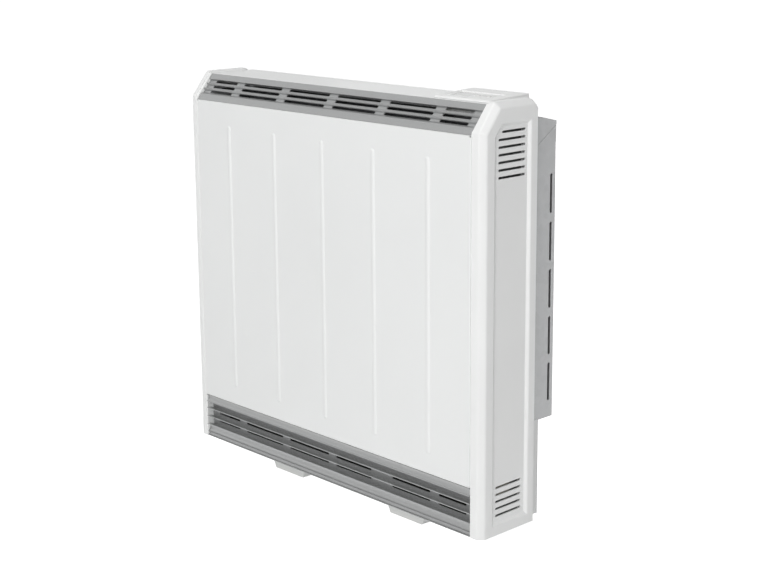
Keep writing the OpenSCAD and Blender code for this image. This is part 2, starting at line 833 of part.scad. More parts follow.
ins_back_y = case_back_y - gap - ins_back;
core_back_y = ins_back_y - gap;
core_mid_y = (core_front_y + core_back_y) / 2;
base_top = sheet + gap + ins_base;
core_base = base_top + gap;
core_top = top_sheet_z - gap - sheet - gap - ins_top - gap;
core_x = store_x - ins_side - gap;
brick_rows = 6;
row_h = (core_top - core_base) / brick_rows;
element_ys = [core_mid_y - element_span / 2, core_mid_y + element_span / 2];
element_zs = [for (i = [1, 3, 5]) core_base + i * row_h - gap / 2];
bend_x = -core_x + element_span / 2 + 20;
groove_r = element_r + 1.25;
bush_hole_r = element_r + 2.3;
sensor_r = 3;
sensor_z = core_base + 4 * row_h - gap / 2;

module insulation() color(board_cream) in_case() children();

module base_insulation()
    insulation() block([-store_x, ins_front_y + ins_front + gap, sheet + gap],
        [store_x, case_back_y - gap, base_top]);

module back_insulation()
    insulation() block([-store_x, ins_back_y, base_top + gap],
        [store_x, case_back_y - gap, core_top]);

module left_insulation()
    insulation() on_side(-1) block([store_x - ins_side, ins_front_y + ins_front + gap, base_top + gap],
        [store_x, core_back_y, core_top]);

module right_insulation()
    insulation() difference() {
        block([store_x - ins_side, ins_front_y + ins_front + gap, base_top + gap],
            [store_x, core_back_y, core_top]);
        for (z = element_zs, y = element_ys)
            bar_x([store_x - ins_side - 1, y, z], groove_r, ins_side + 2);
        // Wider mouths for the elements' ceramic bushes
        for (z = element_zs, y = element_ys)
            bar_x([store_x - 6, y, z], bush_hole_r, 7);
        bar_x([store_x - ins_side - 1, core_mid_y, sensor_z], sensor_r + 0.5, ins_side + 2);
    }

module front_insulation()
    insulation() block([-store_x, ins_front_y, store_low + sheet + gap],
        [store_x, ins_front_y + ins_front, seat_z - sheet - gap]);

module top_insulation()
    insulation() block([-store_x, top_front_y + sheet + gap, core_top + gap],
        [store_x, case_back_y - gap, top_sheet_z - gap - sheet - gap]);

// The path of an element: two legs and a round bend
module hairpin(r, x1, z) {
    for (y = element_ys)
        bar_x([bend_x, y, z], r, x1 - bend_x);
    translate([bend_x, core_mid_y, z])
        rotate([0, 0, 90])
            rotate_extrude(angle = 180)
                translate([element_span / 2, 0]) circle(r = r);
}

module brick_row(n) {
    z0 = core_base + (n - 1) * row_h;
    w = (2 * core_x + gap) / brick_cols;
    color(brick_brown) in_case() difference() {
        for (c = [0 : brick_cols - 1])
            block([-core_x + c * w, core_front_y, z0],
                [-core_x + (c + 1) * w - gap, core_back_y, z0 + row_h - gap]);
        // Half of the element's groove, in the face that meets the next layer
        hairpin(groove_r, core_x + 5, n % 2 == 1 ? z0 + row_h - gap / 2 : z0 - gap / 2);
        // Air channels down the front of each brick
        for (c = [0 : brick_cols - 1], k = [1 : 3])
            bar_z([-core_x + (c + k / 4) * w, core_front_y, z0 - 1], 9, row_h + 2);
    }
}

module brick_row_1() brick_row(1);
module brick_row_2() brick_row(2);
module brick_row_3() brick_row(3);
module brick_row_4() brick_row(4);
module brick_row_5() brick_row(5);
module brick_row_6() brick_row(6);

// A sheathed element with ceramic bushes and terminal pins in the wiring duct
module element(z) {
    color(steel) in_case() {
        hairpin(element_r, store_x + 10, z);
        for (y = element_ys) {
            bar_x([store_x - 5, y, z], bush_hole_r - 0.3, 13);
            bar_x([store_x + 9, y, z], element_r / 2, 12);
        }
    }
}

module lower_element() element(element_zs[0]);
module middle_element() element(element_zs[1]);
module upper_element() element(element_zs[2]);

// ---------------------------------------------------------------- Damper

blade_w = 2 * (side_x - blade_end);
knuckle_r = shaft_r + run_gap + 1.45;
blade_z = seat_z + gap;
damper_at = [0, top_front_y - 2 - knuckle_r, blade_z + knuckle_r];
bracket_x = blade_w / 2 + 6;
bracket_t = 1.5;
motor_x = bracket_x + 16;
motor_w = 38;
motor_h = 23;
blade_t = 1;

module damper_blade() {
    color(zinc) in_case() difference() {
        union() {
            block([-blade_w / 2, damper_at.y - blade_l, blade_z],
                [blade_w / 2, damper_at.y, blade_z + blade_t]);
            // Stiffening fold along the front edge
            block([-blade_w / 2, damper_at.y - blade_l, blade_z],
                [blade_w / 2, damper_at.y - blade_l + blade_t, blade_z + 4]);
            for (x = [-0.45, -0.15, 0.15, 0.45] * blade_w)
                bar_x([x - 12, damper_at.y, damper_at.z], knuckle_r, 24);
        }
        bar_x([-blade_w / 2 - 1, damper_at.y, damper_at.z], shaft_r + run_gap, blade_w + 2);
    }
}

module damper_shaft() {
    color(steel) in_case()
        bar_x([-bracket_x - 5, damper_at.y, damper_at.z], shaft_r, bracket_x + 5 + motor_x + 10);
}

// Angle bracket that stands on the folded edge of the case's top sheet
module damper_bracket(side) {
    foot_y = top_front_y - gap;
    color(zinc) in_case() on_side(side) difference() {
        union() {
            bar_x([bracket_x, damper_at.y, damper_at.z], shaft_r + 3, bracket_t);
            block([bracket_x, damper_at.y, damper_at.z - shaft_r - 3],
                [bracket_x + bracket_t, foot_y, damper_at.z + shaft_r + 3]);
            block([bracket_x, foot_y - bracket_t, damper_at.z - shaft_r - 3],
                [bracket_x + 12, foot_y, damper_at.z + shaft_r + 7]);
        }
        bar_x([bracket_x - 1, damper_at.y, damper_at.z], shaft_r + run_gap, bracket_t + 2);
    }
}

module damper_bracket_left() damper_bracket(-1);
module damper_bracket_right() damper_bracket(1);

module damper_motor() {
    y1 = top_front_y - gap;
    color(white_plastic) in_case() difference() {
        union() {
            block([motor_x, y1 - 22, seat_z + gap], [motor_x + motor_w, y1 - 1.5, seat_z + gap + motor_h]);
            // Ears that take the motor's screws
            block([motor_x - 2, y1 - 1.5, seat_z + gap], [motor_x + motor_w + 8, y1, seat_z + gap + 12]);
            bar_x([motor_x - 1.5, damper_at.y, damper_at.z], shaft_r + 2, 2);
        }
        bar_x([motor_x - 3, damper_at.y, damper_at.z], shaft_r + run_gap, 14);
    }
}

// ---------------------------------------------------------------- Control unit

hood_x1 = panel_x - gap;
hood_x0 = hood_x1 - hood_w;
hood_y0 = slope_y + 6;
hood_y1 = cover_back + hood_over;
hood_d = hood_y1 - hood_y0;
hood_z = case_h + gap;
crest_y = 5;
hood_tilt = atan2(hood_rear - hood_front, hood_d - crest_y - 3);
tub_x0 = hood_x0 + 4;
tub_x1 = hood_x1 - 8;
hood_rim = 10;
tub_y0 = hood_y0 + hood_rim;
tub_y1 = cover_back + 3 - hood_rim;
tub_h = 21;
field_l = 42;
field_x = [tub_x0 + 4.8, tub_x1 - 10.9];
field_v = [11, 11 + field_l];
field_d = 1.8;
floor_t = 1.8;
window_x = [field_x[0] + 3, field_x[0] + 42];
window_v = [field_v[0] + 8, field_v[1] - 5];
window_t = 1.5;
button_count = 4;
button_v = (field_v[0] + field_v[1]) / 2;
button_pitch = (field_x[1] - window_x[1] - 4) / button_count;
button_proud = 1.2;
button_skirt = 1;
board_t = 1.6;
switch_h = 3.5;
switch_w0 = 3;
relay = [19, 15, 5];
stem_l = 3;

// Local frame of the sloping face: u along X, v up the slope, w out of the face
module on_face()
    translate([0, hood_y0 + crest_y, case_h + hood_front])
        rotate([hood_tilt, 0, 0])
            children();

function button_x(i) = window_x[1] + 4 + (i + 0.5) * button_pitch;
field_w = -field_d;
floor_w = -field_d - floor_t;
skirt_w = floor_w - gap - button_skirt;
switch_w = skirt_w - stem_l - button_travel - gap;
board_w = switch_w - switch_h - board_t;

// Side view of the hood, drawn as [y, z], with a round front edge
function hood_side() = concat(
    [for (t = [0 : 15 : 90])
        [hood_y0 + crest_y * (1 - cos(t)), hood_z + (hood_front - gap) * sin(t)]],
    [[hood_y1 - 3, case_h + hood_rear], [hood_y1 - 0.9, case_h + hood_rear - 0.9],
     [hood_y1, case_h + hood_rear - 3], [hood_y1, hood_z]]);

// Plan of the hood with round corners
module hood_plan() {
    r_front = 3;
    r_rear = 10;
    r_right = 4;
    hull() {
        translate([hood_x0 + r_front, hood_y0 + r_front]) circle(r = r_front);
        translate([hood_x0 + r_rear, hood_y1 - r_rear]) circle(r = r_rear);
        translate([hood_x1 - r_right, hood_y1 - r_right]) circle(r = r_right);
        translate([hood_x1 - 1, hood_y0]) square(1);
    }
}

module hood_solid()
    intersection() {
        along_x(hood_x0, hood_x1, hood_side());
        translate([0, 0, hood_z - 1]) linear_extrude(hood_rear + 10) hood_plan();
    }

module control_housing() {
    color(white_plastic) in_case() difference() {
        union() {
            hood_solid();
            block([tub_x0, tub_y0, case_h - tub_h], [tub_x1, tub_y1, hood_z + 1]);
        }
        // Inside of the tub, up to the underside of the sloping face
        intersection() {
            block([tub_x0 + hood_wall, tub_y0 + hood_wall, case_h - tub_h - 1],
                [tub_x1 - hood_wall, tub_y1 - hood_wall, case_h + 20]);
            on_face() block([0, -50, -60], [400, 200, floor_w]);
        }
        // Sunken field with its window and button holes
        on_face() {
            block([field_x[0], field_v[0], field_w], [field_x[1], field_v[1], 5]);
            block([window_x[0], window_v[0], floor_w - 1], [window_x[1], window_v[1], 0]);
            for (i = [0 : button_count - 1])
                bar_z([button_x(i), button_v, floor_w - 1], button_r + run_gap, floor_t + 2);
        }
    }
}

// Clear lens, flush with the sunken field
module display_window() {
    color(display_grey) in_case() on_face()
        block([window_x[0] + 0.15, window_v[0] + 0.15, field_w - window_t],
            [window_x[1] - 0.15, window_v[1] - 0.15, field_w]);
}

module display_module() {
    color(steel) in_case() on_face() {
        block([window_x[0] - 0.5, window_v[0] - 2, floor_w - gap - 3],
            [window_x[1] + 1, window_v[1] + 2, floor_w - gap]);
        // Pins down to the board
        for (k = [0 : 5])
            block([window_x[0] + 3 + k * 5, window_v[0], board_w + board_t + 0.1],
                [window_x[0] + 4 + k * 5, window_v[0] + 1, floor_w - gap - 2.9]);
    }
}

// Circuit board with a switch under each button and two relays on its underside
module control_board() {
    rim = hood_wall + 3 * gap;
    v0 = tub_y0 + rim - hood_y0 - crest_y;
    v1 = tub_y1 - rim - hood_y0 - crest_y;
    color([0.10, 0.32, 0.20]) in_case() on_face() {
        block([tub_x0 + rim, v0, board_w], [tub_x1 - rim, v1, board_w + board_t]);
        for (i = [0 : button_count - 1])
            block([button_x(i) - switch_w0, button_v - switch_w0, board_w + board_t - 0.1],
                [button_x(i) + switch_w0, button_v + switch_w0, switch_w]);
        for (i = [1, 2])
            block([tub_x1 - rim - i * (relay[0] + 4), v0 + 4, board_w - relay[2]],
                [tub_x1 - rim - i * (relay[0] + 4) + relay[0], v0 + 4 + relay[1], board_w + 0.1]);
    }
}

module button(i) {
    color(grille_grey) in_case() on_face()
        translate([button_x(i - 1), button_v, 0])
            rotate_extrude() polygon([
                [0, skirt_w - stem_l], [1.5, skirt_w - stem_l], [1.5, skirt_w],
                [button_r + 0.9, skirt_w], [button_r + 0.9, skirt_w + button_skirt],
                [button_r, skirt_w + button_skirt], [button_r, field_w + button_proud - 0.5],
                [button_r - 0.5, field_w + button_proud], [0, field_w + button_proud]]);
}

module button_1() button(1);
module button_2() button(2);
module button_3() button(3);
module button_4() button(4);

// ---------------------------------------------------------------- Wiring

duct_x = store_x + gap + sheet;
term_z = 44;
term_y = 52;
pole_w = 11;
term_l = poles * pole_w + 4;

module terminal_bracket() {
    color(zinc) in_case() difference() {
        union() {
            block([duct_x + gap, term_y - 4, term_z - 10],
                [duct_x + gap + sheet, term_y + term_l + 4, term_z + 34]);
            block([duct_x + gap, term_y - 4, term_z - 10],
                [duct_x + gap + 22, term_y + term_l + 4, term_z - 10 + sheet]);
        }
        bar_z([duct_x + 14, term_y + term_l - 6, term_z - 12], 3.5, 6);
    }
}

// Terminal block with a clamp screw and a wire hole for each pole
module terminal_block() {
    x0 = duct_x + gap + sheet + gap;
    color([0.88, 0.87, 0.83]) in_case() difference() {
        union() {
            block([x0, term_y, term_z], [x0 + 9, term_y + term_l, term_z + 24]);
            block([x0, term_y, term_z + 5], [x0 + 15, term_y + term_l, term_z + 19]);
        }
        for (k = [0 : poles - 1]) {
            y = term_y + 2 + (k + 0.5) * pole_w;
            bar_x([x0 + 6, y, term_z + 12], 2.8, 12);
            bar_z([x0 + 5, y, term_z - 1], 2.2, 9);
            bar_z([x0 + 5, y, term_z + 17], 2.2, 9);
        }
    }
}

// Soft bush in the case's back, where the supply cable enters
module cable_bush() {
    half = bush_l / 2;
    lip = bush_seat + 2.5;
    groove = sheet / 2 + 0.15;
    color([0.12, 0.12, 0.12]) in_case()
        translate(bush_at)
            rotate([-90, 0, 0])
                rotate_extrude() polygon([
                    [cable_r, -half], [lip, -half], [lip, -groove], [bush_seat, -groove],
                    [bush_seat, groove], [lip, groove], [lip - 1.5, half], [cable_r, half]]);
}

// Disc thermostat on the store's side sheet
module safety_cutout() {
    at = [duct_x + gap, core_mid_y, core_base + 5.5 * row_h];
    color(steel) in_case() {
        bar_x(at, 12, 2);
        bar_x(at + [1.9, 0, 0], 8, 9);
        for (dy = [-4, 4])
            block(at + [10.8, dy - 0.4, -3], at + [18, dy + 0.4, 3]);
    }
}

// Sensor rod that reaches through the side insulation to the bricks
module core_sensor() {
    color(steel) in_case() {
        bar_x([core_x + gap, core_mid_y, sensor_z], sensor_r, store_x + 12 - core_x);
        bar_x([duct_x + gap, core_mid_y, sensor_z], sensor_r + 3, 5);
    }
}

// Room sensor bead, clipped to the case's side behind the lower louvres
module room_sensor() {
    x1 = side_x - sheet - gap;
    at = [x1 - 4.5, window_y[1] + 12, louvre_z0 + 2 * louvre_pitch];
    color([0.15, 0.15, 0.16]) in_case() {
        block([x1 - 2, at.y - 5, at.z - 5], [x1, at.y + 5, at.z + 5]);
        bar_y(at + [0.2, -6, 0], 2.9, 12);
    }
}

front_panel();
top_cover();
left_end_panel();
right_end_panel();
outlet_grille();
inlet_grille();
base_plate();
left_foot();
right_foot();
case_back();
case_left_side();
case_right_side();
case_top();
store_left_side();
store_right_side();
store_front();
wall_box();
wall_box_cap();
base_insulation();
back_insulation();
left_insulation();
right_insulation();
front_insulation();
top_insulation();
brick_row_1();
brick_row_2();
brick_row_3();
brick_row_4();
brick_row_5();
brick_row_6();
lower_element();
middle_element();
upper_element();
damper_blade();
damper_shaft();
damper_bracket_left();
damper_bracket_right();
damper_motor();
control_housing();
display_window();
display_module();
control_board();
button_1();
button_2();
button_3();
button_4();
terminal_bracket();
terminal_block();
cable_bush();
safety_cutout();
core_sensor();
room_sensor();
end_panel_screws();
foot_screws();
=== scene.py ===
import json
import math
from collections import namedtuple

import bmesh
import bpy
from mathutils import Matrix, Vector

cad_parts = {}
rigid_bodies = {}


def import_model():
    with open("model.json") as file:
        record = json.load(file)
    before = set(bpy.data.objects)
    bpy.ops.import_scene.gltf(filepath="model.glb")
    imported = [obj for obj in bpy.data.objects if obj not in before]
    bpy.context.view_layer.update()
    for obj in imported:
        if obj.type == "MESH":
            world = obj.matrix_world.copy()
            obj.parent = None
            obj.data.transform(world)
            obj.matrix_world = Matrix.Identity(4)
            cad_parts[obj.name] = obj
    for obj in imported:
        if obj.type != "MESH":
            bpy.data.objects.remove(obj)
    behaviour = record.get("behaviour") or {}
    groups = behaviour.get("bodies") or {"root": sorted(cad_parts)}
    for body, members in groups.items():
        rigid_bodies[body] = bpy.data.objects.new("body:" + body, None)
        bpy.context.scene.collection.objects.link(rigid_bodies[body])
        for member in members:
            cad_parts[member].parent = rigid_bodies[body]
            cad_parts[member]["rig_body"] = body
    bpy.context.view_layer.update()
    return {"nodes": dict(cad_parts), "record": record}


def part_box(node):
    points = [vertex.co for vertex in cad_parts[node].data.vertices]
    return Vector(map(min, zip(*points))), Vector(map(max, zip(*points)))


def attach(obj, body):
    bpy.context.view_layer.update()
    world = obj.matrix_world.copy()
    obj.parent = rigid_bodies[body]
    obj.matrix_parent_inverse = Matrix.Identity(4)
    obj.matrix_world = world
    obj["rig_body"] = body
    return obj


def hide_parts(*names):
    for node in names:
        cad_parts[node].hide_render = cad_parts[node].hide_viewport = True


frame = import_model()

bpy.context.scene.view_settings.view_transform = "Standard"


# ------------------------------------------------------------------ shader nodes

class Socket:
    """An output of a shader node, so that shader maths is written as plain Python."""

    def __init__(self, finish, output):
        self.finish = finish
        self.output = output

    def maths(self, operation, other):
        return self.finish.node("ShaderNodeMath", {"operation": operation}, {0: self, 1: other})

    def __add__(self, other):
        return self.maths("ADD", other)

    def __mul__(self, other):
        return self.maths("MULTIPLY", other)

    __radd__ = __add__
    __rmul__ = __mul__


class Finish:
    """A material, or the world, made of nodes. Patterns read the object's own coordinates."""

    def __init__(self, name, owner=None):
        self.owner = owner or bpy.data.materials.new(name)
        self.owner.use_nodes = True
        self.tree = self.owner.node_tree
        self.tree.nodes.clear()

    def node(self, kind, settings=None, sockets=None, output=0):
        """Adds a node, with its settings and the values or links of its sockets."""
        made = self.tree.nodes.new(kind)
        for key, value in (settings or {}).items():
            setattr(made, key, value)
        for key, value in (sockets or {}).items():
            if isinstance(value, Socket):
                self.tree.links.new(value.output, made.inputs[key])
            else:
                made.inputs[key].default_value = value
        return Socket(self, made.outputs[output])

    def place(self):
        return self.node("ShaderNodeTexCoord", output="Object")

    def stretched(self, scale):
        return self.node("ShaderNodeMapping", sockets={"Vector": self.place(), "Scale": scale})

    def noise(self, scale, detail=2.0, where=None):
        return self.node("ShaderNodeTexNoise", sockets={
            "Vector": where or self.place(), "Scale": scale, "Detail": detail})

    def cells(self, scale, output="Distance", where=None):
        return self.node("ShaderNodeTexVoronoi", sockets={
            "Vector": where or self.place(), "Scale": scale}, output=output)

    def flakes(self, scale, where=None):
        """Cells of which each has a random grey of its own."""
        colour = self.cells(scale, "Color", where)
        return self.node("ShaderNodeRGBToBW", sockets={"Color": colour})

    def spread(self, value, low, high):
        """Spreads the range from low to high over 0 to 1."""
        return self.node("ShaderNodeMapRange", sockets={
            "Value": value, "From Min": low, "From Max": high})

    def mix(self, factor, first, second):
        return self.node("ShaderNodeMix", {"data_type": "RGBA"}, {
            0: factor, 6: first, 7: second}, output=2)

    def bump(self, height, strength, distance):
        return self.node("ShaderNodeBump", sockets={
            "Height": height, "Strength": strength, "Distance": distance})

    def looked_at(self):
        """1 for rays that the camera, a reflection or a clear piece sends, 0 for light."""
        seen = self.node("ShaderNodeLightPath", output="Is Camera Ray")
        for ray in ("Is Glossy Ray", "Is Transmission Ray"):
            seen = seen.maths("MAXIMUM", self.node("ShaderNodeLightPath", output=ray))
        return seen

    def surface(self, **sockets):
        """Ends in the main shader, with an underscore for each space in its sockets' names."""
        spaced = {key.replace("_", " "): value for key, value in sockets.items()}
        shader = self.node("ShaderNodeBsdfPrincipled", sockets=spaced)
        return self.ends_in("ShaderNodeOutputMaterial", shader)

    def ends_in(self, kind, shader):
        end = self.tree.nodes.new(kind)
        self.tree.links.new(shader.output, end.inputs["Surface"])
        return self.owner


def shade(colour, by):
    """A colour made lighter or darker, with its alpha."""
    return tuple(min(1.0, c * by) for c in colour) + (1.0,)


# ------------------------------------------------------------------ finishes

def powder_coat(name, colour, roughness):
    """Sprayed and baked coat on sheet steel, with a fine orange peel."""
    f = Finish(name)
    cloud = f.spread(f.noise(3.0, detail=3.0), 0.3, 0.7)
    peel = f.noise(620.0)
    speck = f.noise(2400.0, detail=1.0)
    return f.surface(
        Base_Color=f.mix(cloud, shade(colour, 0.985), shade(colour, 1.012)),
        Roughness=f.spread(f.noise(9.0, detail=4.0), 0.2, 0.8) * 0.07 + (roughness - 0.03),
        Normal=f.bump(peel * 0.8 + speck * 0.2, strength=0.10, distance=0.0004))


def moulding(name, colour, roughness, grain=1500.0):
    """Moulded plastic with the fine spark-eroded grain of its tool."""
    f = Finish(name)
    cloud = f.spread(f.noise(5.0), 0.3, 0.7)
    pits = f.noise(grain)
    flow = f.noise(40.0, where=f.stretched((1.0, 1.0, 0.2)))
    return f.surface(
        Base_Color=f.mix(cloud, shade(colour, 0.98), shade(colour, 1.01)),
        Roughness=pits * 0.10 + flow * 0.04 + (roughness - 0.07),
        Normal=f.bump(pits, strength=0.12, distance=0.0003))


def silver_paint(name, colour):
    """Grey lacquer with fine metal flakes."""
    f = Finish(name)
    flakes = f.flakes(1900.0)
    streak = f.noise(6.0, detail=3.0, where=f.stretched((0.4, 1.0, 3.0)))
    tone = f.mix(flakes, shade(colour, 0.90), shade(colour, 1.12))
    return f.surface(
        Base_Color=f.mix(streak * 0.25, tone, shade(colour, 0.93)),
        Metallic=flakes * 0.16 + 0.48,
        Roughness=flakes * 0.08 + 0.32,
        Normal=f.bump(f.noise(900.0), strength=0.06, distance=0.0003))


def zinc_coat(name, colour):
    """Hot dip zinc on sheet steel, with faint spangles and roll marks."""
    f = Finish(name)
    bent = f.noise(25.0) * 0.01
    where = f.node("ShaderNodeVectorMath", {"operation": "ADD"}, {0: f.place(), 1: bent})
    spangle = f.flakes(95.0, where)
    rolled = f.noise(350.0, where=f.stretched((0.15, 1.0, 1.0)))
    tone = f.mix(spangle, shade(colour, 0.93), shade(colour, 1.06))
    return f.surface(
        Base_Color=f.mix(rolled * 0.2, tone, shade(colour, 0.88)),
        Metallic=spangle * 0.12 + 0.42,
        Roughness=spangle * 0.12 + rolled * 0.08 + 0.36,
        Normal=f.bump(rolled, strength=0.05, distance=0.0003))


def mineral_board(name, colour):
    """Pressed mineral fibre, soft and slightly flaky."""
    f = Finish(name)
    fibre = f.noise(260.0, detail=6.0, where=f.stretched((1.0, 1.0, 3.0)))
    flake = f.cells(420.0)
    return f.surface(
        Base_Color=f.mix(fibre, shade(colour, 0.80), shade(colour, 1.10)),
        Roughness=fibre * 0.08 + 0.88,
        Normal=f.bump(fibre + flake * 0.6, strength=0.5, distance=0.0012))


def faced_board(name, colour):
    """Mineral board behind a glass-fibre facing whose near-black colour is painted shade,
    standing for the dark inside of the heater; its loose fibres lie in all directions.
    """
    f = Finish(name)
    strands = f.noise(700.0, detail=5.0, where=f.stretched((1.0, 1.0, 0.4)))
    knots = f.spread(f.cells(160.0), 0.1, 0.6)
    return f.surface(
        Base_Color=f.mix(strands, shade(colour, 0.6), shade(colour, 1.6)),
        Roughness=strands * 0.10 + 0.85,
        Normal=f.bump(strands + knots * 0.3, strength=0.4, distance=0.0006))


def iron_brick(name, colour):
    """Dense sintered brick with fine dark and rusty grains."""
    f = Finish(name)
    grain = f.noise(900.0, detail=4.0)
    rust = f.spread(f.noise(70.0, detail=4.0), 0.5, 0.75)
    tone = f.mix(grain, shade(colour, 0.6), shade(colour, 1.5))
    return f.surface(
        Base_Color=f.mix(rust * 0.35, tone, (0.16, 0.075, 0.04, 1.0)),
        Roughness=grain * 0.15 + 0.75,
        Normal=f.bump(grain, strength=0.5, distance=0.0008))


def bright_metal(name, colour, roughness):
    """Plated or drawn metal with fine lines along its length."""
    f = Finish(name)
    lines = f.noise(900.0, detail=3.0, where=f.stretched((0.05, 1.0, 1.0)))
    smudge = f.noise(30.0, detail=3.0)
    return f.surface(
        Base_Color=f.mix(smudge, shade(colour, 0.88), shade(colour, 1.05)),
        Metallic=smudge * 0.05 + 0.92,
        Roughness=lines * 0.14 + (roughness - 0.07),
        Normal=f.bump(lines, strength=0.06, distance=0.0002))


def circuit_board(name):
    """Green lacquer over fine copper tracks."""
    f = Finish(name)
    track = f.spread(f.cells(300.0), 0.28, 0.34)
    return f.surface(
        Base_Color=f.mix(track, (0.05, 0.22, 0.10, 1.0), (0.02, 0.11, 0.05, 1.0)),
        Roughness=track * 0.15 + 0.28,
        Normal=f.bump(track, strength=0.2, distance=0.0002))


def display_lens(name, colour):
    """Clear lens over a pale switched-off display, with a very fine polish haze."""
    f = Finish(name)
    haze = f.noise(220.0, detail=4.0)
    return f.surface(
        Base_Color=f.mix(haze, shade(colour, 0.97), shade(colour, 1.02)),
        Roughness=haze * 0.05 + 0.10)


def soft_rubber(name):
    """Matt black rubber with a fine grain."""
    f = Finish(name)
    grain = f.noise(1300.0, detail=3.0)
    return f.surface(
        Base_Color=f.mix(grain, (0.012, 0.012, 0.013, 1.0), (0.030, 0.030, 0.032, 1.0)),
        Roughness=grain * 0.15 + 0.62,
        Normal=f.bump(grain, strength=0.2, distance=0.0004))


white_steel = powder_coat("white_steel", (0.83, 0.84, 0.835), roughness=0.36)
white_moulding = moulding("white_moulding", (0.86, 0.865, 0.86), roughness=0.40)
foot_moulding = moulding("foot_moulding", (0.80, 0.805, 0.79), roughness=0.48)
grille_paint = silver_paint("grille_paint", (0.34, 0.345, 0.345))
zinc = zinc_coat("zinc", (0.43, 0.435, 0.44))
board = mineral_board("mineral_board", (0.64, 0.58, 0.47))
# The faced board is near black as painted shade, for the dark inside of the heater seen through
# the inlet slots
painted_shade_board = faced_board("faced_board", (0.012, 0.012, 0.011))
brick = iron_brick("iron_brick", (0.06, 0.045, 0.038))
sheath = bright_metal("element_sheath", (0.16, 0.145, 0.13), roughness=0.45)
steel = bright_metal("bright_steel", (0.50, 0.50, 0.52), roughness=0.30)
# This near-black coat is painted shade: it darkens the inner sheets seen through the outlet
# slots, standing for the dark inside of the heater
painted_shade_coat = powder_coat("painted_shade_black_coat", (0.045, 0.045, 0.048), roughness=0.60)
# The motor's near-black colour is painted shade, darkening the inside of the heater seen through
# the slots
motor_painted_shade = moulding("motor_painted_shade", (0.035, 0.035, 0.038), roughness=0.45)
terminal_casing = moulding("terminal_casing", (0.70, 0.66, 0.56), roughness=0.42)
lens = display_lens("display_lens", (0.60, 0.61, 0.605))
green_board = circuit_board("green_board")
key_moulding = moulding("key_moulding", (0.70, 0.70, 0.69), roughness=0.42, grain=2200.0)
rubber = soft_rubber("black_rubber")
bead = moulding("sensor_bead", (0.02, 0.02, 0.022), roughness=0.35)

# The slots dark, motor and faced_board take near-black finishes as painted shade for the
# heater's dark inside
finish_of_slot = {
    "panel": white_steel, "casing": white_steel, "moulding": white_moulding,
    "foot": foot_moulding, "grille": grille_paint, "zinc": zinc, "dark": painted_shade_coat,
    "insulation": board, "faced_board": painted_shade_board,
    "brick": brick, "element": sheath, "steel": steel, "motor": motor_painted_shade,
    "window": lens, "board": green_board, "button": key_moulding,
    "terminal": terminal_casing, "rubber": rubber, "sensor": bead,
}
slot_of_node = {row["node"]: row["material_slot"] for row in frame["record"]["subparts"]}
for name, node in frame["nodes"].items():
    for slot in node.material_slots:
        slot.material = finish_of_slot[slot_of_node[name]]


# ------------------------------------------------------------------ rounded edges

# Places below are in millimetres from the middle of the width, from the front plane and from
# the case's floor, and angles are in degrees
MM = 0.001
case_zero = Vector((0.0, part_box("inlet_grille")[0].y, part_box("base_plate")[0].z))

NEAR = 0.1      # what lies this near to a plane lies on it
SQUARE = 60     # least turn of an edge that is about square
CLEAR = 25      # least turn of an edge that isn't between two facets of a round
ALONG = 0.9     # least share of a run, for an edge that runs along an axis
FLAT = 0.3      # faces that turn by less are made one
SMOOTH = 30     # faces that turn by less are shaded as one
JOIN = 0.01     # corners nearer than this become one

# A rounding: the test that picks its edges, its width and its number of segments
Round = namedtuple("Round", "wanted width segments")


def in_case(point):
    """A point of the frame as a place in the case."""
    return (point - case_zero) / MM


def case_box(name):
    """The lowest and the highest corner of a CAD node."""
    return [in_case(corner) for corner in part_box(name)]


class Crease:
    """An edge as the tests below see it, on the right-hand side of the heater: its middle, its
    run, its turn, which is above zero where it stands out, and each face's normal and centre."""

    def __init__(self, edge):
        start, end = (corner.co for corner in edge.verts)
        run = (end - start).normalized()
        middle = in_case((start + end) / 2)
        to_right = Vector((-1.0 if middle.x < 0 else 1.0, 1.0, 1.0))
        self.x, self.y, self.z = middle * to_right
        self.runs_across = abs(run.x) > ALONG
        self.runs_up = abs(run.z) > ALONG
        self.turn = math.degrees(edge.calc_face_angle_signed(0.0))
        self.faces = [(face.normal * to_right, in_case(face.calc_center_median()) * to_right)
                      for face in edge.link_faces]


def rounded(name, *rounds, join=JOIN, slide=True):
    """Puts a copy with rounded edges in a CAD node's place. A round's corners slide along the
    edges beside it, or keep to an even width where slide is off."""
    node = frame["nodes"][name]
    piece = bpy.data.objects.new(name + "_rounded", node.data.copy())
    bpy.context.scene.collection.objects.link(piece)
    bpy.ops.object.select_all(action="DESELECT")
    bpy.context.view_layer.objects.active = piece
    piece.select_set(True)
    bpy.ops.mesh.customdata_custom_splitnormals_clear()
    bpy.ops.object.mode_set(mode="EDIT")
    bpy.ops.mesh.select_mode(type="EDGE")
    bpy.ops.mesh.select_all(action="SELECT")
    bpy.ops.mesh.remove_doubles(threshold=join * MM)
    bpy.ops.mesh.dissolve_limited(angle_limit=math.radians(FLAT))
    for each in rounds:
        bpy.ops.mesh.select_all(action="DESELECT")
        mesh = bmesh.from_edit_mesh(piece.data)
        for edge in mesh.edges:
            edge.select = len(edge.link_faces) == 2 and each.wanted(Crease(edge))
        bmesh.update_edit_mesh(piece.data)
        bpy.ops.mesh.bevel(offset=each.width * MM, segments=each.segments, affect="EDGES",
                           clamp_overlap=False, loop_slide=slide)
    bpy.ops.object.mode_set(mode="OBJECT")
    bpy.ops.object.shade_smooth_by_angle(angle=math.radians(SMOOTH))
    weighted = piece.modifiers.new("weighted_normals", "WEIGHTED_NORMAL")
    weighted.keep_sharp = True
    bpy.ops.object.modifier_apply(modifier=weighted.name)
    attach(piece, node["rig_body"])
    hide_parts(name)


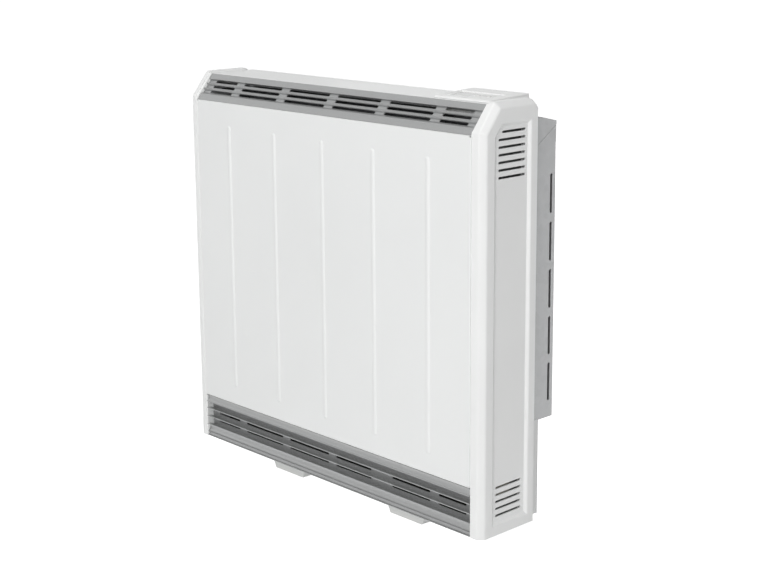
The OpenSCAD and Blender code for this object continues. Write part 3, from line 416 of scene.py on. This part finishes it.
# The end panels' rim runs over the front, the slope and the top, and round the rear corner. It
# has a bevel and a flat edge. Inside it lies the recess, whose floor holds the louvres
end_side, end_back, end_top = case_box("right_end_panel")[1]
bevel_in = end_side - 9             # the bevel lies outside this
bevel_back = 24                     # and in front of this
bevel_low = end_top - 30            # or over this
flat_in = end_side - 19.7           # the flat edge lies outside this
flat_back = 3                       # and in front of this
slope_low = end_top - 50            # or over this, on the slope and the top
corner_low = end_top - 21           # the round rear corner lies over this
recess_y = (20, end_back - 10)      # the recess lies between these
recess_z = (10, end_top - 28)
recess_floor = end_side - 4
facet_turn = 14                     # the rear corner's facets turn by less
OUTWARD = 0.99                      # least share of a normal, for a face that looks outwards
ASLANT = 0.2                        # for one that leans outwards
MAINLY = 0.5                        # and for one that looks mainly one way


def rim_face(normal, centre):
    if normal.x > OUTWARD:
        return centre.x > end_side - NEAR
    if normal.x > ASLANT:
        return centre.y < bevel_back or centre.z > bevel_low
    at_corner = normal.y > MAINLY and centre.z > corner_low and centre.y < end_back - NEAR
    looks_out = normal.y < -MAINLY or normal.z > MAINLY or at_corner
    on_flat = centre.x > flat_in and (centre.y < flat_back or centre.z > slope_low)
    return abs(normal.x) < 1 - OUTWARD and looks_out and on_flat


def rim_edge(edge):
    return edge.turn > facet_turn and all(rim_face(*face) for face in edge.faces)


def rear_rim_edge(edge):
    return edge.turn > SQUARE and edge.y > end_back - NEAR and edge.x > bevel_in


def in_recess(edge):
    return recess_y[0] < edge.y < recess_y[1] and recess_z[0] < edge.z < recess_z[1]


def recess_edge(edge):
    return in_recess(edge) and edge.turn > CLEAR and edge.x > end_side - NEAR


def louvre_edge(edge):
    return in_recess(edge) and edge.turn > SQUARE and abs(edge.x - recess_floor) < NEAR


for side_panel in ("left_end_panel", "right_end_panel"):
    rounded(side_panel,
            Round(rim_edge, width=2.6, segments=5),
            Round(rear_rim_edge, width=0.9, segments=3),
            Round(recess_edge, width=1.5, segments=4),
            Round(louvre_edge, width=0.3, segments=2), slide=False)


# The front panel is folded sheet: its outer folds and the feet of its pressed ribs are soft,
# and the small openings at its upper corners stay sharp
panel_side, panel_back, panel_top = case_box("front_panel")[1]
opening = 3.1               # reach of an opening from the panel's side and from its top
fold_back = panel_back - 1  # the folds lie in front of this, their own sharp ends behind it
rib_turn = -15              # a rib's foot stands in by more


def panel_fold(edge):
    at_opening = edge.x > panel_side - opening and edge.z > panel_top - opening
    return edge.turn > SQUARE and edge.y < fold_back and not at_opening


def rib_foot(edge):
    return edge.turn < rib_turn and abs(edge.y) < NEAR


rounded("front_panel",
        Round(panel_fold, width=1.4, segments=4),
        Round(rib_foot, width=0.6, segments=2), slide=False)


# The top cover has a soft rear fold and a soft front lip. The hidden rim of its hole for the
# control unit stays sharp
cover_front = case_box("top_cover")[0].y
cover_back, cover_top = case_box("top_cover")[1].yz
lip_back = cover_front + 9      # the lip lies in front of this, the hole behind it


def rear_fold(edge):
    return edge.turn > SQUARE and edge.y > cover_back - NEAR and edge.z > cover_top - NEAR


def front_lip(edge):
    at_front = edge.y < lip_back and edge.z > cover_top - NEAR
    return edge.turn > SQUARE and edge.runs_across and at_front


rounded("top_cover",
        Round(rear_fold, width=2.5, segments=4),
        Round(front_lip, width=0.9, segments=3))


# The outlet grille lies on the slope between the front panel and the cover. It has two plain
# bands and between them a sunken web, whose ridges part the rows of slots
slope_angle = math.atan2(cover_top - panel_top, cover_front)
ridge_rows = (15, 44)       # the ridges lie between these heights up the slope
slot_rows = (15, 46)        # and the rows of slots between these
slot_depth = (1, 4.3)       # the slots' rims lie between these depths behind the slope
skin = 0.6                  # and the edges of bands and ridges less deep than this
slot_turn = 50              # least turn of a slot's rim, also on the flank of a ridge


def on_slope(edge):
    """How deep behind the slope an edge lies, and how far up the slope."""
    over = edge.z - panel_top
    depth = edge.y * math.sin(slope_angle) - over * math.cos(slope_angle)
    height = edge.y * math.cos(slope_angle) + over * math.sin(slope_angle)
    return depth, height


def band_edge(edge):
    depth, height = on_slope(edge)
    at_band = depth < skin and not ridge_rows[0] <= height <= ridge_rows[1]
    return edge.turn > CLEAR and edge.runs_across and at_band


def ridge_tip(edge):
    depth, height = on_slope(edge)
    at_ridge = depth < skin and ridge_rows[0] < height < ridge_rows[1]
    return edge.turn > CLEAR and edge.runs_across and at_ridge


def slot_rim(edge):
    depth, height = on_slope(edge)
    at_slot = slot_depth[0] < depth < slot_depth[1] and slot_rows[0] < height < slot_rows[1]
    return edge.turn > slot_turn and at_slot


rounded("outlet_grille",
        Round(band_edge, width=0.9, segments=3),
        Round(ridge_tip, width=0.25, segments=2),
        Round(slot_rim, width=0.35, segments=2))


# The inlet grille has slats and scoops, and slots through the back wall of its valleys
valley_back = 15                # depth of the back wall
slat_back = valley_back - 0.5   # the slats' open edges lie in front of this


def slat_edge(edge):
    return edge.turn > CLEAR and edge.runs_across and edge.y < slat_back


def inlet_rim(edge):
    return edge.turn > SQUARE and abs(edge.y - valley_back) < NEAR


rounded("inlet_grille",
        Round(slat_edge, width=0.5, segments=3),
        Round(inlet_rim, width=0.3, segments=2))


# The control unit's hood is soft along its ends and its rear, and so is the edge of the sunken
# field in its face
hood_low, hood_high = case_box("control_housing")
hood_ends = (hood_low.x + 0.6, hood_high.x - 0.6)   # the hood's rim lies outside these
hood_rear = hood_high.y - 12                        # or behind this
rim_low = cover_top + 2                             # and over this
field_x = (hood_low.x + 5, hood_high.x - 5)         # the field's edge lies between these
field_back = hood_high.y - 14                       # in front of this
field_low = cover_top + 4.4                         # and over this
hood_join = 0.15                                    # joins the short edges at the rear corners


def hood_rim(edge):
    at_end = edge.x < hood_ends[0] or edge.x > hood_ends[1]
    at_rim = edge.z > rim_low and (at_end or edge.y > hood_rear)
    return edge.turn > CLEAR and at_rim


def field_rim(edge):
    at_field = field_x[0] < edge.x < field_x[1] and edge.y < field_back and edge.z > field_low
    return edge.turn > SQUARE and at_field


rounded("control_housing",
        Round(hood_rim, width=1.2, segments=4),
        Round(field_rim, width=0.5, segments=3), join=hood_join)


# The feet are mouldings with soft edges. The deep holes of their screws stay sharp, and so do
# the upper edges, which lie against the case
foot_low, foot_high = case_box("right_foot")
foot_middle = (foot_low + foot_high) / 2
hole_x, hole_y = 9, 36              # reach of the screws' holes from the foot's middle
upper_low = foot_high.z - 4         # the upper edges lie over this


def foot_edge(edge):
    at_hole = abs(edge.x - foot_middle.x) < hole_x and abs(edge.y - foot_middle.y) < hole_y
    return edge.turn > CLEAR and edge.z < upper_low and not at_hole


for foot in ("left_foot", "right_foot"):
    rounded(foot, Round(foot_edge, width=1.6, segments=4))


# The wall box is folded sheet, with an upright fold at each side
box_side = case_box("wall_box")[1].x


def box_fold(edge):
    return edge.turn > SQUARE and edge.runs_up and edge.x > box_side - NEAR


rounded("wall_box", Round(box_fold, width=0.9, segments=3), slide=False)


# ------------------------------------------------------------------ camera and light

# The camera stands where the photograph was taken. Its shift takes up a part of the strong one
# of the photograph's lens
PHOTO_W = 780
FOCAL_PX = 1518
SENSOR_MM = 36.0
SHIFT = -0.08
NEAREST, FARTHEST = 0.05, 200.0
YAW, PITCH, ROLL = (math.radians(degrees) for degrees in (46.48, 11.61, -0.37))
eye = Vector((1.893, -1.7325, 0.997))
level = math.cos(PITCH)     # the view's share along the floor
forward = Vector((-math.sin(YAW) * level, math.cos(YAW) * level, -math.sin(PITCH)))
right = Vector((math.cos(YAW), math.sin(YAW), 0.0))
up = right.cross(forward)
axes = Matrix((right, up, -forward)).transposed() @ Matrix.Rotation(ROLL, 3, "Z")

camera = bpy.data.objects.new("camera", bpy.data.cameras.new("camera"))
bpy.context.scene.collection.objects.link(camera)
bpy.context.scene.camera = camera
camera.data.sensor_width = SENSOR_MM
camera.data.lens = FOCAL_PX / PHOTO_W * SENSOR_MM
camera.data.shift_y = SHIFT
camera.data.clip_start = NEAREST
camera.data.clip_end = FARTHEST
camera.rotation_mode = "QUATERNION"
camera.location = eye
camera.rotation_quaternion = axes.to_quaternion()

heart = Vector((0.0, 0.0, 0.37))    # the middle of the heater


def softbox(name, place, width, height, watts):
    """A soft lamp, with its sides in metres, that faces the heater's middle."""
    lamp = bpy.data.lights.new(name, "AREA")
    lamp.shape = "RECTANGLE"
    lamp.size = width
    lamp.size_y = height
    lamp.energy = watts
    stand = bpy.data.objects.new(name, lamp)
    bpy.context.scene.collection.objects.link(stand)
    stand.location = place
    stand.rotation_mode = "QUATERNION"
    stand.rotation_quaternion = (heart - Vector(place)).to_track_quat("-Z", "Y")


softbox("key_softbox", (2.75, -4.00, 2.35), width=3.0, height=2.4, watts=149.0)
softbox("overhead", (0.3, -0.9, 3.6), width=3.2, height=2.4, watts=34.0)
softbox("left_fill", (-3.2, -1.6, 1.6), width=2.0, height=2.0, watts=8.0)
softbox("rear_fill", (-2.4, 3.6, 0.5), width=2.4, height=1.0, watts=22.0)

# Air and floor are white where they are looked at, and light the heater little
WHITE = (1.0, 1.0, 1.0, 1.0)
SEEN_AIR = 1.0          # strength of the air where it is looked at
LIT_BY_AIR = 0.20       # and where it lights the heater
FLOOR_GLOW = 0.88       # what the floor adds where it is looked at
FLOOR_SIDE = 60.0
UNDER_SOLES = 0.0005    # gap between the floor and the feet's soles

studio = bpy.data.worlds.new("studio")
bpy.context.scene.world = studio
air = Finish("studio", studio)
air.ends_in("ShaderNodeOutputWorld", air.node("ShaderNodeBackground", sockets={
    "Color": WHITE, "Strength": air.looked_at() * (SEEN_AIR - LIT_BY_AIR) + LIT_BY_AIR}))

bpy.ops.object.select_all(action="DESELECT")
bpy.ops.mesh.primitive_plane_add(size=FLOOR_SIDE, location=(0.0, 0.0, -UNDER_SOLES))
floor = bpy.context.object
floor.name = "floor"
paper = Finish("studio_floor")
mottle = paper.noise(1.5)
matt = paper.node("ShaderNodeBsdfDiffuse", sockets={
    "Color": paper.mix(mottle, (0.88, 0.88, 0.88, 1.0), (0.91, 0.91, 0.91, 1.0))})
glow = paper.node("ShaderNodeEmission", sockets={
    "Color": WHITE, "Strength": paper.looked_at() * FLOOR_GLOW})
floor.data.materials.append(paper.ends_in(
    "ShaderNodeOutputMaterial", paper.node("ShaderNodeAddShader", sockets={0: matt, 1: glow})))
